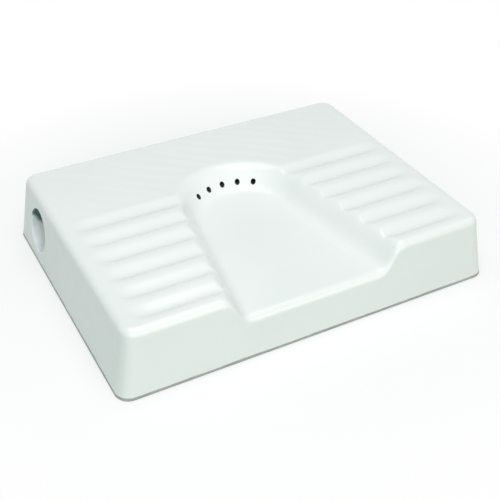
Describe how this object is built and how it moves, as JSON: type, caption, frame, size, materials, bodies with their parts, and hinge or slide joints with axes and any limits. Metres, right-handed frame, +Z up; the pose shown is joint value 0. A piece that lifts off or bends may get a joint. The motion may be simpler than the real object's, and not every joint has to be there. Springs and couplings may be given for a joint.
{
  "type": "female urinal",
  "caption": "Floor-standing ceramic urinal for women with ribbed foot rests, a tapered trough open at the front, flush holes and a side water inlet.",
  "frame": {"origin": "middle of the foot, on the floor", "axes": "+X to the right seen from the open front of the trough, +Y to the rear, +Z up"},
  "size_m": [0.59, 0.445, 0.105],
  "materials": {
    "glazed_body": "smooth white glaze",
    "unglazed_body": "bare fired clay"
  },
  "bodies": {
    "root": {"pan": "glazed_body", "flush_chamber": "unglazed_body", "inlet_socket": "unglazed_body", "inlet_duct": "unglazed_body", "trough_web_left": "unglazed_body", "trough_web_right": "unglazed_body", "side_web_left_front": "unglazed_body", "side_web_left_rear": "unglazed_body", "side_web_right_front": "unglazed_body", "side_web_right_rear": "unglazed_body", "back_web": "unglazed_body", "corner_web": "unglazed_body"}
  },
  "joints": []
}
